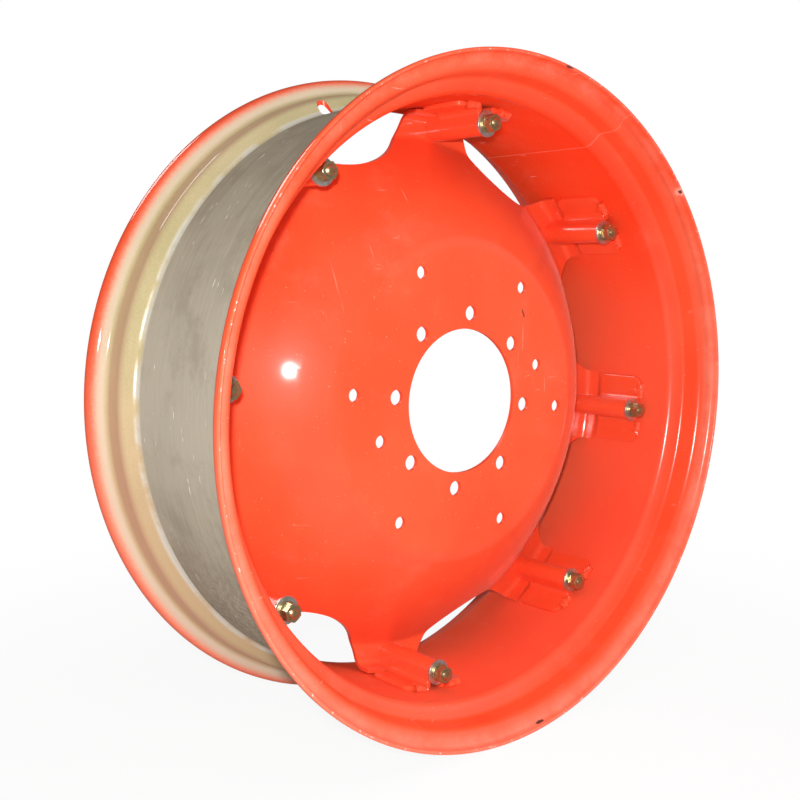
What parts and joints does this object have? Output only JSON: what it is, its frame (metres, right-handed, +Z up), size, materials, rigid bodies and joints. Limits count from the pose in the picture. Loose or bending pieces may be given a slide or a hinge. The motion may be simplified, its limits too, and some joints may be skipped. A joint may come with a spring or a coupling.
{
  "type": "tractor wheel",
  "caption": "Steel tractor wheel without tyre: wide drop-centre rim with welded hat-section lugs, long bolts and a scalloped dished disc with bore and bolt circles.",
  "frame": {"origin": "centre of the wheel, on the axle's line, midway between the rim's two edges", "axes": "+Y along the axle towards the tractor, so the wheel's outer side faces -Y; +Z up"},
  "size_m": [0.7619, 0.2696, 0.762],
  "materials": {
    "rim_paint": "gloss red-orange inside, worn bare steel and primer on the tyre side",
    "disc_paint": "gloss red-orange paint",
    "lug_paint": "gloss red-orange paint with weld beads",
    "gold_zinc": "yellow zinc plate",
    "bright_zinc": "bright zinc plate"
  },
  "bodies": {
    "root": {"rim": "rim_paint", "disc": "disc_paint", "rim_lug_1": "lug_paint", "lug_bolt_1": "gold_zinc", "nut_1": "gold_zinc", "spring_washer_1": "gold_zinc", "nut_washer_1": "bright_zinc", "head_washer_1": "bright_zinc", "rim_lug_2": "lug_paint", "lug_bolt_2": "gold_zinc", "nut_2": "gold_zinc", "spring_washer_2": "gold_zinc", "nut_washer_2": "bright_zinc", "head_washer_2": "bright_zinc", "rim_lug_3": "lug_paint", "lug_bolt_3": "gold_zinc", "nut_3": "gold_zinc", "spring_washer_3": "gold_zinc", "nut_washer_3": "bright_zinc", "head_washer_3": "bright_zinc", "rim_lug_4": "lug_paint", "lug_bolt_4": "gold_zinc", "nut_4": "gold_zinc", "spring_washer_4": "gold_zinc", "nut_washer_4": "bright_zinc", "head_washer_4": "bright_zinc", "rim_lug_5": "lug_paint", "lug_bolt_5": "gold_zinc", "nut_5": "gold_zinc", "spring_washer_5": "gold_zinc", "nut_washer_5": "bright_zinc", "head_washer_5": "bright_zinc", "rim_lug_6": "lug_paint", "lug_bolt_6": "gold_zinc", "nut_6": "gold_zinc", "spring_washer_6": "gold_zinc", "nut_washer_6": "bright_zinc", "head_washer_6": "bright_zinc", "rim_lug_7": "lug_paint", "lug_bolt_7": "gold_zinc", "nut_7": "gold_zinc", "spring_washer_7": "gold_zinc", "nut_washer_7": "bright_zinc", "head_washer_7": "bright_zinc", "rim_lug_8": "lug_paint", "lug_bolt_8": "gold_zinc", "nut_8": "gold_zinc", "spring_washer_8": "gold_zinc", "nut_washer_8": "bright_zinc", "head_washer_8": "bright_zinc"}
  },
  "joints": []
}
